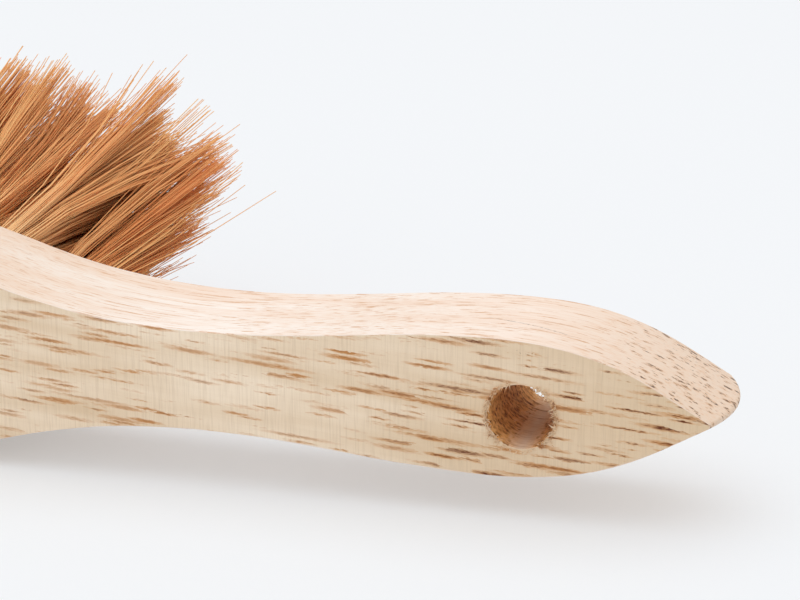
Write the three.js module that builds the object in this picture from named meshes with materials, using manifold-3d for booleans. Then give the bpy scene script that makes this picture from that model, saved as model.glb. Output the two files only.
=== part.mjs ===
import * as THREE from 'three';
import { mergeGeometries, mergeVertices } from 'three/addons/utils/BufferGeometryUtils.js';
import Module from 'manifold-3d';

// Hand brush, lying on the flat long side of its head. Millimetres, +Z up.
// +X runs along the handle to its tip, and +Y is the way the bristles point.
// The origin is on the side it lies on, halfway along the head and halfway through the board.

// Board: handle and head, sawn from one piece of wood
const boardThickness = 24;
const headLength = 124;
const headWidth = 35;
const headCornerRadius = 14;
const handleLength = 134;
const gripWidth = 21.5;
const gripFromTip = 33.6;
const neckWidth = 15.9;
const neckFromTip = 78;

// Sanded edges, and the nose that stands forward halfway through the board's thickness
const edgeEase = 0.4;
const tipRadius = 0.6;
const tipHalfAngle = 30;
const noseBulge = 2.7;
const noseReach = 28.5;

// How far each curve of the outline runs on before it turns, as a share of its stretch
const tipSweep = 0.32;
const gripFrontSweep = 0.52;
const gripBackSweep = 0.29;
const neckFrontSweep = 0.32;
const neckBackSweep = 0.58;
const shoulderSweep = 0.26;
const curveSteps = 8;
const noseSteps = 4;
const noseLevels = [-1, -0.6, -0.2, 0.2, 0.6, 1];

// Hang hole, drilled a little below the handle's middle line
const hangHoleDiameter = 10;
const hangHoleFromTip = 28;
const hangHoleDrop = 1.1;
const hangHoleSides = 32;

// Tuft holes: three rows, the middle one staggered by half a pitch
const tuftHoleDiameter = 6;
const tuftHoleSides = 8;
const tuftPitch = 10.9;
const rowFromSide = 7;
const firstTuftPastShoulder = 10;
const lastTuftFromEnd = 14;
const woodBehindTufts = 9;

// Slice of backing that carries each row's strands, seated in a groove of the board
const sliceThickness = 1.6;
const ribBetweenSlices = 2;
const sliceSteps = 5;

// Flat-wire anchors, driven across the holes with their ends in the wood
const anchorThickness = 0.5;
const anchorHeight = 2.4;
const anchorBite = 0.6;
const anchorCorner = 0.5;
const anchorTurn = 45;
const foldThickness = 1.2;

// Bristles: strands that spread from the head, and lie along the surface on its underside
const bristleLength = 61;
const lengthSpread = 0.06;
const strandsPerTuft = 10;
const strandSides = 3;
const strandRadius = 0.4;
const strandMidRadius = 0.35;
const tuftFlare = 1.9;
const tipScatter = 0.4;
const tipsAboveSurface = 1.2;
const upperSplay = 22;
const cornerDroop = 8;
const midBend = 0.4;
const strandSeed = 20;

// Gap kept between pieces that touch
const fitGap = 0.3;
const cutOverrun = 1;

const shoulderX = headLength / 2;
const farEndX = -headLength / 2;
const tipX = shoulderX + handleLength;
const backY = -boardThickness / 2;
const faceY = boardThickness / 2;
const holeRadius = tuftHoleDiameter / 2;
const holeFloorY = backY + woodBehindTufts;
const plugFloorY = holeFloorY + fitGap;
const anchorY = plugFloorY + foldThickness + fitGap + anchorHeight / 2;
const anchorLength = tuftHoleDiameter + 2 * anchorBite;
const rowPitch = headWidth / 2 - rowFromSide;
const sliceRadius = (rowPitch - ribBetweenSlices) / 2;
const strandField = holeRadius - fitGap - strandRadius;
const fieldStartX = shoulderX + firstTuftPastShoulder;
const fieldEndX = farEndX + lastTuftFromEnd;
const tuftsInOuterRow = Math.floor((fieldStartX - fieldEndX) / tuftPitch) + 1;
const fieldCentreX = (fieldStartX + fieldEndX) / 2;
const fieldHalfLength = (tuftsInOuterRow * tuftPitch) / 2;

// Each row's tips fill their share of the height of the spread bristles, and at the head's ends
// they splay outwards by so much at the row's lowest and highest tips
const rows = [
  { name: 'lower', across: -1, extraTufts: 0, tips: [0, 0.22], endSplay: [-2, 4] },
  { name: 'middle', across: 0, extraTufts: 1, tips: [0.26, 0.57], endSplay: [8, 12] },
  { name: 'upper', across: 1, extraTufts: 0, tips: [0.59, 1], endSplay: [19, 5] },
];
for (const row of rows) {
  row.z = row.across * rowPitch;
  row.tufts = [];
  const count = tuftsInOuterRow + row.extraTufts;
  for (let k = 0; k < count; k += 1) {
    const x = fieldCentreX + (k - (count - 1) / 2) * tuftPitch;
    row.tufts.push({ x, z: row.z });
  }
}
const allTufts = rows.flatMap((row) => row.tufts);

const wood = { color: 0xe2cba8, roughness: 0.72, metalness: 0 };
const coir = { color: 0xb5713c, roughness: 0.8, metalness: 0 };
const wire = { color: 0xb9bcbd, roughness: 0.35, metalness: 1 };

const wasm = await Module();
wasm.setup();

function toSolid(geometry) {
  const bare = geometry.clone();
  bare.deleteAttribute('normal');
  bare.deleteAttribute('uv');
  const merged = mergeVertices(bare);
  const vertProperties = new Float32Array(merged.attributes.position.array);
  const triVerts = new Uint32Array(merged.index.array);
  return new wasm.Manifold(new wasm.Mesh({ numProp: 3, vertProperties, triVerts }));
}

function toGeometry(solid) {
  const mesh = solid.getMesh();
  const geometry = new THREE.BufferGeometry();
  geometry.setAttribute('position', new THREE.BufferAttribute(mesh.vertProperties, 3));
  geometry.setIndex(new THREE.BufferAttribute(mesh.triVerts, 1));
  geometry.computeVertexNormals();
  return geometry;
}

function toMesh(name, geometry, look) {
  const mesh = new THREE.Mesh(geometry, new THREE.MeshStandardMaterial(look));
  mesh.name = name;
  return mesh;
}

// Small repeatable random numbers from 0 to 1
function makeRandom(seed) {
  let state = seed;
  return () => {
    state = (state * 1664525 + 1013904223) % 4294967296;
    return state / 4294967296;
  };
}

// Upper half of the board's plan, from the tip to the far end, set in by the tip's radius
function planCurve() {
  const angle = THREE.MathUtils.degToRad(tipHalfAngle);
  const grip = gripWidth / 2 - tipRadius;
  const neck = neckWidth / 2 - tipRadius;
  const head = headWidth / 2 - tipRadius;
  const corner = Math.min(headCornerRadius - tipRadius, head);
  const startX = tipX - tipRadius;
  const gripX = tipX - gripFromTip;
  const neckX = tipX - neckFromTip;
  const cornerX = farEndX + tipRadius + corner;
  const tipRun = tipSweep * gripFromTip;
  const waist = gripX - neckX;
  const flare = neckX - shoulderX;
  const path = new THREE.Path();
  path.moveTo(startX, 0);
  path.bezierCurveTo(
    startX - tipRun * Math.cos(angle), tipRun * Math.sin(angle),
    gripX + gripFrontSweep * gripFromTip, grip,
    gripX, grip,
  );
  path.bezierCurveTo(
    gripX - gripBackSweep * waist, grip,
    neckX + neckFrontSweep * waist, neck,
    neckX, neck,
  );
  path.bezierCurveTo(
    neckX - neckBackSweep * flare, neck,
    shoulderX + shoulderSweep * flare, head,
    shoulderX, head,
  );
  path.lineTo(cornerX, head);
  path.absarc(cornerX, head - corner, corner, Math.PI / 2, Math.PI, false);
  path.lineTo(farEndX + tipRadius, 0);
  return path.getPoints(curveSteps);
}

// The whole plan as points with the direction that each one swells in
function boardOutline() {
  const points = planCurve();
  const upper = [];
  const steepest = Math.PI / 2 - THREE.MathUtils.degToRad(tipHalfAngle);
  for (let k = 0; k <= noseSteps; k += 1) {
    const angle = (steepest * k) / noseSteps;
    upper.push({ at: points[0], out: new THREE.Vector2(Math.cos(angle), Math.sin(angle)) });
  }
  for (let k = 1; k < points.length - 1; k += 1) {
    const along = points[k + 1].clone().sub(points[k - 1]).normalize();
    upper.push({ at: points[k], out: new THREE.Vector2(along.y, -along.x) });
  }
  upper.push({ at: points[points.length - 1], out: new THREE.Vector2(-1, 0) });
  const flip = (v) => new THREE.Vector2(v.x, -v.y);
  const lower = upper.slice(1, -1).reverse();
  return upper.concat(lower.map((p) => ({ at: flip(p.at), out: flip(p.out) })));
}

// The nose stands forward most at the tip and halfway through the board
function noseForward(fromTip, level) {
  const left = Math.max(0, 1 - fromTip / noseReach);
  return noseBulge * left * left * (1 - level * level);
}

function boardSkin() {
  const outline = boardOutline();
  const inner = boardThickness / 2 - edgeEase;
  const rings = [
    { y: backY, level: -1, ease: edgeEase },
    ...noseLevels.map((level) => ({ y: level * inner, level, ease: 0 })),
    { y: faceY, level: 1, ease: edgeEase },
  ];
  const places = [];
  for (const ring of rings) {
    for (const { at, out } of outline) {
      const swell = tipRadius - ring.ease;
      const forward = noseForward(tipX - at.x, ring.level);
      places.push(at.x + out.x * swell + forward, ring.y, at.y + out.y * swell);
    }
  }
  const size = outline.length;
  const faces = [];
  for (let r = 0; r < rings.length - 1; r += 1) {
    for (let k = 0; k < size; k += 1) {
      const a = r * size + k;
      const b = r * size + ((k + 1) % size);
      faces.push(a, a + size, b, b, a + size, b + size);
    }
  }
  const top = (rings.length - 1) * size;
  const rim = outline.map(({ at, out }) => at.clone().addScaledVector(out, tipRadius - edgeEase));
  for (const [a, b, c] of THREE.ShapeUtils.triangulateShape(rim, [])) {
    faces.push(a, b, c, top + c, top + b, top + a);
  }
  const geometry = new THREE.BufferGeometry();
  geometry.setAttribute('position', new THREE.Float32BufferAttribute(places, 3));
  geometry.setIndex(faces);
  return geometry;
}

// A round-ended bar round a row of tufts, from the bristle face down into the board
function rowBar(row, radius, depth, above) {
  const first = row.tufts[row.tufts.length - 1].x;
  const last = row.tufts[0].x;
  const shape = new THREE.Shape();
  shape.absarc(first, row.z, radius, -Math.PI / 2, Math.PI / 2, false);
  shape.absarc(last, row.z, radius, Math.PI / 2, (3 * Math.PI) / 2, false);
  const bar = new THREE.ExtrudeGeometry(shape, {
    depth: depth + above,
    bevelEnabled: false,
    curveSegments: sliceSteps,
  });
  return bar.rotateX(Math.PI / 2).translate(0, faceY + above, 0);
}

function tuftCylinder(tuft, radius, lowY, highY) {
  const cylinder = new THREE.CylinderGeometry(radius, radius, highY - lowY, tuftHoleSides);
  return cylinder.translate(tuft.x, (lowY + highY) / 2, tuft.z);
}

// The room that an anchor needs, from just under it up to a given height
function anchorRoom(tuft, highY) {
  const lowY = anchorY - anchorHeight / 2 - fitGap;
  const room = new THREE.BoxGeometry(
    anchorLength + 2 * fitGap,
    highY - lowY,
    anchorThickness + 2 * fitGap,
  );
  room.rotateY(THREE.MathUtils.degToRad(anchorTurn));
  return room.translate(tuft.x, (lowY + highY) / 2, tuft.z);
}

function woodenBoard() {
  const hangHole = new THREE.CylinderGeometry(
    hangHoleDiameter / 2,
    hangHoleDiameter / 2,
    boardThickness + 2 * cutOverrun,
    hangHoleSides,
  );
  hangHole.translate(tipX - hangHoleFromTip, 0, -hangHoleDrop);
  const pastFace = faceY + cutOverrun;
  const holes = allTufts.map((tuft) => tuftCylinder(tuft, holeRadius, holeFloorY, pastFace));
  const scores = allTufts.map((tuft) => anchorRoom(tuft, pastFace));
  const grooves = rows.map((row) => (
    rowBar(row, sliceRadius + fitGap, sliceThickness + fitGap, cutOverrun)
  ));
  const board = toSolid(boardSkin())
    .subtract(toSolid(hangHole))
    .subtract(toSolid(mergeGeometries(grooves)))
    .subtract(toSolid(mergeGeometries(holes)))
    .subtract(toSolid(mergeGeometries(scores)));
  return toMesh('wooden_board', toGeometry(board), wood);
}

// From a strand's root to its tip: strands spread towards the head's ends and up from the surface
function strandReach(row, tuft, offset, random) {
  const along = (tuft.x - fieldCentreX) / fieldHalfLength;
  const scatterX = (2 * random() - 1) * tipScatter;
  const scatterZ = (2 * random() - 1) * tipScatter;
  const length = bristleLength * (1 - lengthSpread * random());
  const lowest = -headWidth / 2 + tipsAboveSurface;
  const highest = headWidth / 2 + upperSplay - cornerDroop * along ** 2;
  const inTuft = THREE.MathUtils.mapLinear(offset.y, -strandField, strandField, 0, 1);
  const share = THREE.MathUtils.lerp(...row.tips, inTuft);
  const tipZ = THREE.MathUtils.lerp(lowest, highest, share) + scatterZ;
  const outward = THREE.MathUtils.lerp(...row.endSplay, inTuft) * along ** 3;
  const sideX = outward + offset.x * (tuftFlare - 1) + scatterX;
  const sideZ = tipZ - tuft.z - offset.y;
  return new THREE.Vector3(sideX, Math.sqrt(length ** 2 - sideX ** 2 - sideZ ** 2), sideZ);
}

// A bent, tapered strand: a ring in the slice, a ring halfway and a point
function addStrand(root, toTip, turn, places, faces) {
  const start = places.length / 3;
  const stations = [
    { share: 0, bend: 0, radius: strandRadius, sink: sliceThickness / 2 },
    { share: 0.5, bend: midBend, radius: strandMidRadius, sink: 0 },
  ];
  for (const { share, bend, radius, sink } of stations) {
    for (let k = 0; k < strandSides; k += 1) {
      const angle = turn + (2 * Math.PI * k) / strandSides;
      places.push(
        root.x + toTip.x * bend + radius * Math.cos(angle),
        faceY + toTip.y * share - sink,
        root.y + toTip.z * bend + radius * Math.sin(angle),
      );
    }
  }
  places.push(root.x + toTip.x, faceY + toTip.y, root.y + toTip.z);
  const point = start + 2 * strandSides;
  for (let k = 0; k < strandSides; k += 1) {
    const a = start + k;
    const b = start + ((k + 1) % strandSides);
    const c = a + strandSides;
    const d = b + strandSides;
    faces.push(a, c, b, b, c, d, c, point, d);
    if (k > 0) faces.push(start, a, b);
  }
}

function rowStrands(row, random) {
  const places = [];
  const faces = [];
  const goldenAngle = Math.PI * (3 - Math.sqrt(5));
  for (const tuft of row.tufts) {
    for (let k = 0; k < strandsPerTuft; k += 1) {
      const radius = strandField * Math.sqrt((k + 0.5) / strandsPerTuft);
      const angle = k * goldenAngle;
      const offset = new THREE.Vector2(Math.cos(angle), Math.sin(angle)).multiplyScalar(radius);
      const root = new THREE.Vector2(tuft.x, tuft.z).add(offset);
      const turn = random() * 2 * Math.PI;
      addStrand(root, strandReach(row, tuft, offset, random), turn, places, faces);
    }
  }
  const geometry = new THREE.BufferGeometry();
  geometry.setAttribute('position', new THREE.Float32BufferAttribute(places, 3));
  geometry.setIndex(faces);
  return geometry;
}

// One row of tufts: strands, the slice they stand on, and the folded roots down the holes
function bristleRow(row, random) {
  const inSlice = faceY - sliceThickness / 2;
  const roots = row.tufts.map((tuft) => (
    tuftCylinder(tuft, holeRadius - fitGap, plugFloorY, inSlice)
  ));
  const windows = row.tufts.map((tuft) => anchorRoom(tuft, anchorY + anchorHeight / 2 + fitGap));
  const solid = toSolid(rowBar(row, sliceRadius, sliceThickness, 0))
    .add(toSolid(mergeGeometries(roots)))
    .subtract(toSolid(mergeGeometries(windows)))
    .add(toSolid(rowStrands(row, random)));
  return toMesh(`bristle_row_${row.name}`, toGeometry(solid), coir);
}

// A cut length of flat wire with its two leading corners clipped
function anchorGeometry() {
  const x = anchorLength / 2;
  const y = anchorHeight / 2;
  const shape = new THREE.Shape();
  shape.moveTo(-x + anchorCorner, -y);
  shape.lineTo(x - anchorCorner, -y);
  shape.lineTo(x, -y + anchorCorner);
  shape.lineTo(x, y);
  shape.lineTo(-x, y);
  shape.lineTo(-x, -y + anchorCorner);
  shape.closePath();
  const plate = new THREE.ExtrudeGeometry(shape, { depth: anchorThickness, bevelEnabled: false });
  return plate.translate(0, 0, -anchorThickness / 2);
}

function rowAnchors(row) {
  return row.tufts.map((tuft, k) => {
    const number = String(k + 1).padStart(2, '0');
    const anchor = toMesh(`anchor_${row.name}_${number}`, anchorGeometry(), wire);
    anchor.position.set(tuft.x, anchorY, tuft.z);
    anchor.rotation.y = THREE.MathUtils.degToRad(anchorTurn);
    return anchor;
  });
}

const brush = new THREE.Group();
const random = makeRandom(strandSeed);
brush.add(woodenBoard());
for (const row of rows) {
  brush.add(bristleRow(row, random));
  brush.add(...rowAnchors(row));
}
brush.position.z = headWidth / 2;

export default brush;
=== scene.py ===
import math
from functools import partial

import bmesh
import bpy
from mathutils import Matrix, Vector, noise
from mathutils.geometry import interpolate_bezier


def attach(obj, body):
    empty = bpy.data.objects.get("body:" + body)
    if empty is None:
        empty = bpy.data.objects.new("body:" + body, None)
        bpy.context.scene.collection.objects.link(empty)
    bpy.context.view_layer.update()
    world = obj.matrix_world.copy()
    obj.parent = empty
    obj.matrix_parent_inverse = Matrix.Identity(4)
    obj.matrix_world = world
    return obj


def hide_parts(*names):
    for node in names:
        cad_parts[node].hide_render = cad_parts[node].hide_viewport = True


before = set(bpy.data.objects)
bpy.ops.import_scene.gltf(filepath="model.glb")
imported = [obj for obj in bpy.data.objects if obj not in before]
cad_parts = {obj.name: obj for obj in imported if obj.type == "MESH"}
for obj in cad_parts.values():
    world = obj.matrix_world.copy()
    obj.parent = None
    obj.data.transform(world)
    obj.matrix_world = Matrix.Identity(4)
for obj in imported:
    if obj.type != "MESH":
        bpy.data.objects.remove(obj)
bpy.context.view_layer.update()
scene = bpy.context.scene
scene.view_settings.view_transform = "Standard"
mm = 0.001

# Hand brush lying on the long side of its head: +X to the tip, +Y the way the bristles point, +Z up
print("frame loaded, nodes:", len(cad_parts))


# An sRGB hex colour as the linear one that shaders use
def linear(hexColour):
    channels = [int(hexColour[k:k + 2], 16) / 255 for k in (1, 3, 5)]
    return [c / 12.92 if c <= 0.04045 else ((c + 0.055) / 1.055) ** 2.4 for c in channels] + [1.0]


# Adds a node with its settings, links or sets its inputs, and gives back one output
def addNode(tree, kind, inputs=(), output=0, **settings):
    node = tree.nodes.new(kind)
    for name, value in settings.items():
        setattr(node, name, value)
    for key, value in inputs.items() if isinstance(inputs, dict) else enumerate(inputs):
        if isinstance(value, bpy.types.NodeSocket):
            tree.links.new(value, node.inputs[key])
        else:
            node.inputs[key].default_value = value
    return node.outputs[output] if node.outputs else node


def newMaterial(name):
    material = bpy.data.materials.new(name)
    material.use_nodes = True
    material.node_tree.nodes.clear()
    return material


socketKinds = {
    int: "NodeSocketInt",
    float: "NodeSocketFloat",
    tuple: "NodeSocketVector",
    bpy.types.Object: "NodeSocketObject",
    bpy.types.Material: "NodeSocketMaterial",
}


# A geometry tree with one named input for each size
def newTree(name, sizes):
    tree = bpy.data.node_groups.new(name, "GeometryNodeTree")
    tree.interface.new_socket("Geometry", in_out="OUTPUT", socket_type="NodeSocketGeometry")
    tree.interface.new_socket("Geometry", in_out="INPUT", socket_type="NodeSocketGeometry")
    for label, value in sizes.items():
        tree.interface.new_socket(label, in_out="INPUT", socket_type=socketKinds[type(value)])
    return tree, tree.nodes.new("NodeGroupInput").outputs


# Runs a tree on a mesh and keeps the result as a plain mesh
def growPiece(name, mesh, tree, sizes):
    piece = bpy.data.objects.new(name, mesh)
    scene.collection.objects.link(piece)
    modifier = piece.modifiers.new(name, "NODES")
    modifier.node_group = tree
    for item in tree.interface.items_tree:
        if item.in_out == "INPUT" and item.name in sizes:
            modifier[item.identifier] = sizes[item.name]
    depsgraph = bpy.context.evaluated_depsgraph_get()
    grown = bpy.data.meshes.new_from_object(
        piece.evaluated_get(depsgraph), preserve_all_data_layers=True, depsgraph=depsgraph
    )
    piece.modifiers.remove(modifier)
    piece.data = grown
    grown.name = name
    return piece


# Camera: a long lens a little above and to the right of the handle, as in the photograph
view = {
    "place": (235.1, -313.4, 122.1),  # mm
    "azimuth": 15.86,
    "elevation": 15.88,
    "lens": 99.0,
    "sensor": 36.0,
    "nearest": 10.0,  # mm
}
cameraData = bpy.data.cameras.new("camera")
cameraData.lens = view["lens"]
cameraData.sensor_width = view["sensor"]
cameraData.clip_start = view["nearest"] * mm
camera = bpy.data.objects.new("camera", cameraData)
camera.location = Vector(view["place"]) * mm
camera.rotation_euler = (math.radians(90 - view["elevation"]), 0, math.radians(view["azimuth"]))
scene.collection.objects.link(camera)
scene.camera = camera
print("camera placed")


noiseSpan = (0.3, 0.7)  # where most of a noise lies

# Rubberwood, sawn and then sanded. It is a pale straw wood, so the eye is caught by its brown open
# vessels: streaks along the grain, and short dark dashes where the surface cuts across it.
# Each pair is a length and a width in mm.
grain = {
    "tilt": 5.0,  # degrees, the grain runs down towards the tip
    "tone": (45.0, 6.0),  # slow drift of colour
    "lines": (14.0, 0.3),  # fine grain lines
    "split": (1.0, 0.2),  # splits the vessels into their pores
    "sawMarks": (0.22, 5.0),  # marks of the saw, which run across the grain
    "ragged": (3.0, 0.5),  # how far the vessels stray from a smooth outline
    "cellTurn": (0.5, 0.6, 0.7),  # radians, keeps the vessels from lining up in columns
    # the vessel cores darken towards the tip, and the base tone deepens there as painted shade of the nose
    # end
    "darkens": (70.0, 195.0),  # mm along the handle, over which the wood grows darker
}
openVessels = [
    {"cell": (7.5, 0.75), "size": 0.6, "kept": 0.66, "endOnly": False},  # short streaks
    {"cell": (22.0, 1.0), "size": 0.36, "kept": 0.7, "endOnly": False},  # long slim streaks
]
sandedVessels = [
    {"cell": (17.0, 0.62), "size": 0.42, "kept": 0.7, "endOnly": False},  # long hair lines
    {"cell": (7.5, 0.6), "size": 0.3, "kept": 0.6, "endOnly": False},  # short ones between them
]
# pores that show where the grain is cut across: fine in the sanded nose, torn wide in the drilled hole,
# where their dark dots are partly open pores and partly painted shade in the gaps between the torn fibre
# stubble
finePores = {"cell": (2.6, 1.0), "size": 0.5, "kept": 0.85, "endOnly": True}
tornPoresAndGapShade = {"cell": (5.0, 0.72), "size": 0.8, "kept": 0.88, "endOnly": True}
finishes = {
    "rubberwoodSawn": {
        "pale": "#FDE7CC", "deep": "#E6C9A6", "endGrain": "#EFD5B4", "line": "#D8B78E", "sawMark": "#C0A07C",
        "halo": "#CB8230", "vessel": "#662C04", "vessels": openVessels, "pores": finePores,
        "alongHalo": 0.88, "acrossHalo": 0.88, "freshHalo": 0.7, "alongCore": 1.0, "acrossCore": 1.0,
        "lines": 0.08, "saw": 0.28, "sawBump": 0.3, "roughness": 0.74,
    },
    "rubberwoodSanded": {
        # its end-grain colour is partly the nose's real end grain and partly painted shade where the eased
        # edge turns away from the light towards the tip
        "pale": "#FDF2E8", "deep": "#F7E0CE", "endGrain": "#E2C8AF", "line": "#E8BE9A", "sawMark": "#E8BE9A",
        "halo": "#D0904C", "vessel": "#3A2010", "vessels": sandedVessels, "pores": finePores,
        "alongHalo": 0.9, "acrossHalo": 0.7, "freshHalo": 0.25, "alongCore": 0.1, "acrossCore": 1.0,
        "lines": 0.6, "saw": 0.0, "sawBump": 0.0, "roughness": 0.62,
    },
    "rubberwoodDrilled": {
        "pale": "#FDEBDA", "deep": "#F2D7BD", "endGrain": "#F3B668", "line": "#B9824A", "sawMark": "#B9824A",
        "halo": "#BE7A30", "vessel": "#6A3A12", "vessels": openVessels, "pores": tornPoresAndGapShade,
        "alongHalo": 0.5, "acrossHalo": 0.8, "freshHalo": 1.0, "alongCore": 0.4, "acrossCore": 0.95,
        "lines": 0.6, "saw": 0.0, "sawBump": 0.0, "roughness": 0.85,
    },
}
# Where each share starts and is full, and its values there where they don't come from the finish
shares = {
    "richer": (0.35, 0.65, 0.75, 1.15),  # vessels grow larger where the wood is deeper in tone
    "crossCut": (0.24, 0.38, 0.0, 1.0),  # pores open where the surface cuts across the grain
    "alongToAcross": (0.24, 0.4),  # the vessels' look turns from that along the grain to that across it
    "smallest": 0.35,  # the smallest vessel, to the largest
    "leftOut": 0.001,  # the size of a vessel that isn't kept
    "haloTone": (0.0, 1.0, 0.5, 1.0),
    "coreTone": (0.0, 1.0, 0.3, 1.0),
    "halo": (1.3, 0.55),  # from a vessel's middle, to its size
    "core": (0.85, 0.35),
    "pores": (0.38, 0.58, 0.35, 1.0),  # breaks in the dark cores
    "fresh": (0.0, 0.3),  # the start of the darkening, with its own halo
    "darkCore": (0.5, 1.0, 0.5, 1.9),
    "deepTone": (0.35, 0.65, 0.0, 1.0),
    # painted shade: the base tone deepens towards the tip end
    "tipEndShade": (0.6, 0.95, 0.0, 1.0),
    "endGrain": (0.05, 0.6, 0.0, 0.9),
    "line": (0.48, 0.75),
    "sawMark": (0.45, 0.8),
}
relief = {"strength": 0.35, "depth": 0.12, "vesselDepth": 1.5, "roughnessSpread": 0.06}  # depth in mm
# A hairline drying check on the upper side of the grip, in mm
dryingCheck = {
    "from": (159.7, -1.5), "to": (174.8, -5.4), "width": 0.12, "above": 24.0, "stray": 0.7,
    "darkness": 0.8, "evenShare": 0.5,
}


def makeRubberwood(name, finish):
    material = newMaterial(name)
    tree = material.node_tree
    add = partial(addNode, tree)
    mathNode, vectorMath, mapRange = "ShaderNodeMath", "ShaderNodeVectorMath", "ShaderNodeMapRange"
    place = add("ShaderNodeTexCoord", output="Object")
    tilt = (0, -math.radians(grain["tilt"]), 0)
    along = add("ShaderNodeMapping", {"Vector": place, "Rotation": tilt})
    endGrain = add("ShaderNodeAttribute", output="Fac", attribute_name="endGrain")

    # noises stretched along the grain, and the saw marks across it
    noises = {}
    for label, source in (("tone", along), ("lines", along), ("split", along), ("sawMarks", place)):
        length, width = (1 / (size * mm) for size in grain[label])
        sized = add(vectorMath, [source, (length, width, width)], operation="MULTIPLY")
        noises[label] = add("ShaderNodeTexNoise", {"Vector": sized, "Scale": 1.0})

    # vessels: long ellipsoids along the grain, one to a cell
    sway = add(vectorMath, [noises["split"].node.outputs["Color"], (0.5, 0.5, 0.5)], operation="SUBTRACT")
    length, width = (stray * mm for stray in grain["ragged"])
    swayed = add(vectorMath, [sway, (length, width, width), along], operation="MULTIPLY_ADD")
    richer = add(mapRange, [noises["tone"], *shares["richer"]])
    crossCut = add(mapRange, [endGrain, *shares["crossCut"]])
    alongX = add("ShaderNodeSeparateXYZ", [place])
    paleEnd, darkEnd = (distance * mm for distance in grain["darkens"])
    towardTip = add(mapRange, [alongX, paleEnd, darkEnd, 0.0, 1.0])
    halo = core = 0.0
    for vessel in finish["vessels"] + [finish["pores"]]:
        length, width = (1 / (size * mm) for size in vessel["cell"])
        cells = add(
            "ShaderNodeMapping",
            {"Vector": swayed, "Rotation": grain["cellTurn"], "Scale": (length, width, width)},
        )
        voronoi = add("ShaderNodeTexVoronoi", {"Vector": cells, "Scale": 1.0}, output="Distance")
        draw = add("ShaderNodeSeparateColor", [voronoi.node.outputs["Color"]])
        largest = vessel["size"]
        smallest = shares["smallest"] * largest
        size = add(mapRange, [draw, 1 - vessel["kept"], 1.0, smallest, largest])
        kept = add(mathNode, [draw, 1 - vessel["kept"]], operation="GREATER_THAN")
        size = add(mathNode, [size, kept], operation="MULTIPLY")
        growth = crossCut if vessel["endOnly"] else richer
        size = add(mathNode, [size, growth], operation="MULTIPLY")
        size = add(mathNode, [size, shares["leftOut"]], operation="MAXIMUM")
        fromMiddle = add(mathNode, [voronoi, size], operation="DIVIDE")
        tone = add(mapRange, [draw.node.outputs["Green"], *shares["haloTone"]])
        oneHalo = add(mapRange, [fromMiddle, *shares["halo"], 0.0, tone])
        tone = add(mapRange, [draw.node.outputs["Blue"], *shares["coreTone"]])
        oneCore = add(mapRange, [fromMiddle, *shares["core"], 0.0, tone])
        halo = add(mathNode, [halo, oneHalo], operation="MAXIMUM")
        core = add(mathNode, [core, oneCore], operation="MAXIMUM")
    turned = [endGrain, *shares["alongToAcross"]]
    haloShown = add(mapRange, [*turned, finish["alongHalo"], finish["acrossHalo"]])
    halo = add(mathNode, [halo, haloShown], operation="MULTIPLY")
    fresh = add(mapRange, [towardTip, *shares["fresh"], finish["freshHalo"], 1.0])
    fresh = add(mathNode, [fresh, crossCut], operation="MAXIMUM")
    halo = add(mathNode, [halo, fresh], operation="MULTIPLY")
    coreShown = add(mapRange, [*turned, finish["alongCore"], finish["acrossCore"]])
    pores = add(mapRange, [noises["split"], *shares["pores"]])
    core = add(mathNode, [core, pores], operation="MULTIPLY")
    core = add(mathNode, [core, coreShown], operation="MULTIPLY")
    darker = add(mapRange, [towardTip, *shares["darkCore"]])
    darker = add(mathNode, [darker, crossCut], operation="MAXIMUM")
    core = add(mathNode, [core, darker], operation="MULTIPLY")

    # colour, from the pale wood up to the dark cores
    coats = [
        ("deep", add(mapRange, [noises["tone"], *shares["deepTone"]])),
        # painted shade: the base tone is drawn deeper towards the tip end
        ("deep", add(mapRange, [towardTip, *shares["tipEndShade"]])),
        ("endGrain", add(mapRange, [endGrain, *shares["endGrain"]])),
        ("line", add(mapRange, [noises["lines"], *shares["line"], 0.0, finish["lines"]])),
        ("sawMark", add(mapRange, [noises["sawMarks"], *shares["sawMark"], 0.0, finish["saw"]])),
        ("halo", halo),
        ("vessel", core),
    ]
    if name == "rubberwoodSanded":
        coats.append(("vessel", checkMask(tree, place, noises["split"])))
    colour = linear(finish["pale"])
    for coat, amount in coats:
        colour = add(
            "ShaderNodeMix", {0: amount, 6: colour, 7: linear(finish[coat])}, output=2, data_type="RGBA"
        )

    # relief: saw marks and fine lines, with the vessels open
    height = add(
        mathNode, [noises["sawMarks"], finish["sawBump"], noises["lines"]], operation="MULTIPLY_ADD"
    )
    height = add(mathNode, [core, -relief["vesselDepth"], height], operation="MULTIPLY_ADD")
    normal = add(
        "ShaderNodeBump",
        {"Strength": relief["strength"], "Distance": relief["depth"] * mm, "Height": height},
    )
    rough, spread = finish["roughness"], relief["roughnessSpread"]
    roughness = add(mapRange, [noises["lines"], *noiseSpan, rough - spread, rough + spread])
    shader = add(
        "ShaderNodeBsdfPrincipled", {"Base Color": colour, "Roughness": roughness, "Normal": normal}
    )
    add("ShaderNodeOutputMaterial", [shader])
    return material


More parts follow.
